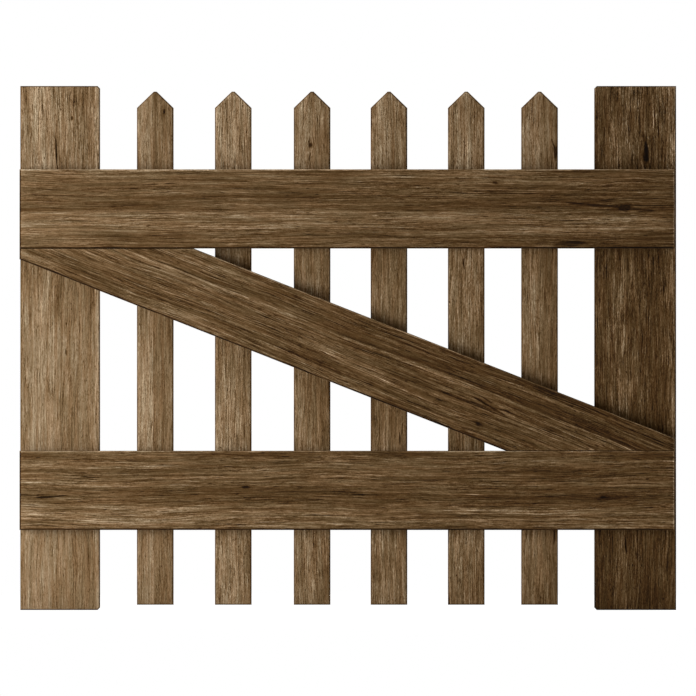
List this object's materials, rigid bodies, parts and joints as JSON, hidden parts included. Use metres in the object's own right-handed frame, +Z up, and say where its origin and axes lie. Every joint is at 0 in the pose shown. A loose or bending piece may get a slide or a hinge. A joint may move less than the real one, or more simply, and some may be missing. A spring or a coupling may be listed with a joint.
{
  "type": "garden gate leaf",
  "caption": "Low timber garden gate leaf: wide stiles and spaced pointed pickets screwed to two rails with a diagonal brace between them.",
  "frame": {"origin": "bottom centre of the whole leaf: ground level, midway across the leaf and midway through its thickness", "axes": "+X across the leaf towards the wider stile, +Y through it towards the picket face, +Z up; rails and brace are on the -Y side"},
  "size_m": [1.002, 0.04, 0.8],
  "materials": {
    "stile_wood": "weathered walnut-brown stain, rough sawn grain",
    "picket_wood": "weathered walnut-brown stain, fine fibrous grain",
    "rail_wood": "darker walnut-brown stain, long dark streaks along the board",
    "brace_wood": "darker walnut-brown stain, grain along the slope",
    "screw_steel": "dulled exterior wood screw, cross recess"
  },
  "bodies": {
    "root": {"left_stile": "stile_wood", "right_stile": "stile_wood", "picket_1": "picket_wood", "picket_2": "picket_wood", "picket_3": "picket_wood", "picket_4": "picket_wood", "picket_5": "picket_wood", "picket_6": "picket_wood", "top_rail": "rail_wood", "bottom_rail": "rail_wood", "diagonal_brace": "brace_wood", "screw_left_stile_bottom_rail_lower_left": "screw_steel", "screw_left_stile_bottom_rail_lower_right": "screw_steel", "screw_left_stile_bottom_rail_upper_left": "screw_steel", "screw_left_stile_bottom_rail_upper_right": "screw_steel", "screw_left_stile_brace": "screw_steel", "screw_left_stile_top_rail_lower_left": "screw_steel", "screw_left_stile_top_rail_lower_right": "screw_steel", "screw_left_stile_top_rail_upper_left": "screw_steel", "screw_left_stile_top_rail_upper_right": "screw_steel", "screw_picket_1_bottom_rail_lower": "screw_steel", "screw_picket_1_bottom_rail_upper": "screw_steel", "screw_picket_1_brace": "screw_steel", "screw_picket_1_top_rail_lower": "screw_steel", "screw_picket_1_top_rail_upper": "screw_steel", "screw_picket_2_bottom_rail_lower": "screw_steel", "screw_picket_2_bottom_rail_upper": "screw_steel", "screw_picket_2_brace": "screw_steel", "screw_picket_2_top_rail_lower": "screw_steel", "screw_picket_2_top_rail_upper": "screw_steel", "screw_picket_3_bottom_rail_lower": "screw_steel", "screw_picket_3_bottom_rail_upper": "screw_steel", "screw_picket_3_brace": "screw_steel", "screw_picket_3_top_rail_lower": "screw_steel", "screw_picket_3_top_rail_upper": "screw_steel", "screw_picket_4_bottom_rail_lower": "screw_steel", "screw_picket_4_bottom_rail_upper": "screw_steel", "screw_picket_4_brace": "screw_steel", "screw_picket_4_top_rail_lower": "screw_steel", "screw_picket_4_top_rail_upper": "screw_steel", "screw_picket_5_bottom_rail_lower": "screw_steel", "screw_picket_5_bottom_rail_upper": "screw_steel", "screw_picket_5_brace": "screw_steel", "screw_picket_5_top_rail_lower": "screw_steel", "screw_picket_5_top_rail_upper": "screw_steel", "screw_picket_6_bottom_rail_lower": "screw_steel", "screw_picket_6_bottom_rail_upper": "screw_steel", "screw_picket_6_brace": "screw_steel", "screw_picket_6_top_rail_lower": "screw_steel", "screw_picket_6_top_rail_upper": "screw_steel", "screw_right_stile_bottom_rail_lower_left": "screw_steel", "screw_right_stile_bottom_rail_lower_right": "screw_steel", "screw_right_stile_bottom_rail_upper_left": "screw_steel", "screw_right_stile_bottom_rail_upper_right": "screw_steel", "screw_right_stile_brace": "screw_steel", "screw_right_stile_top_rail_lower_left": "screw_steel", "screw_right_stile_top_rail_lower_right": "screw_steel", "screw_right_stile_top_rail_upper_left": "screw_steel", "screw_right_stile_top_rail_upper_right": "screw_steel"}
  },
  "joints": []
}
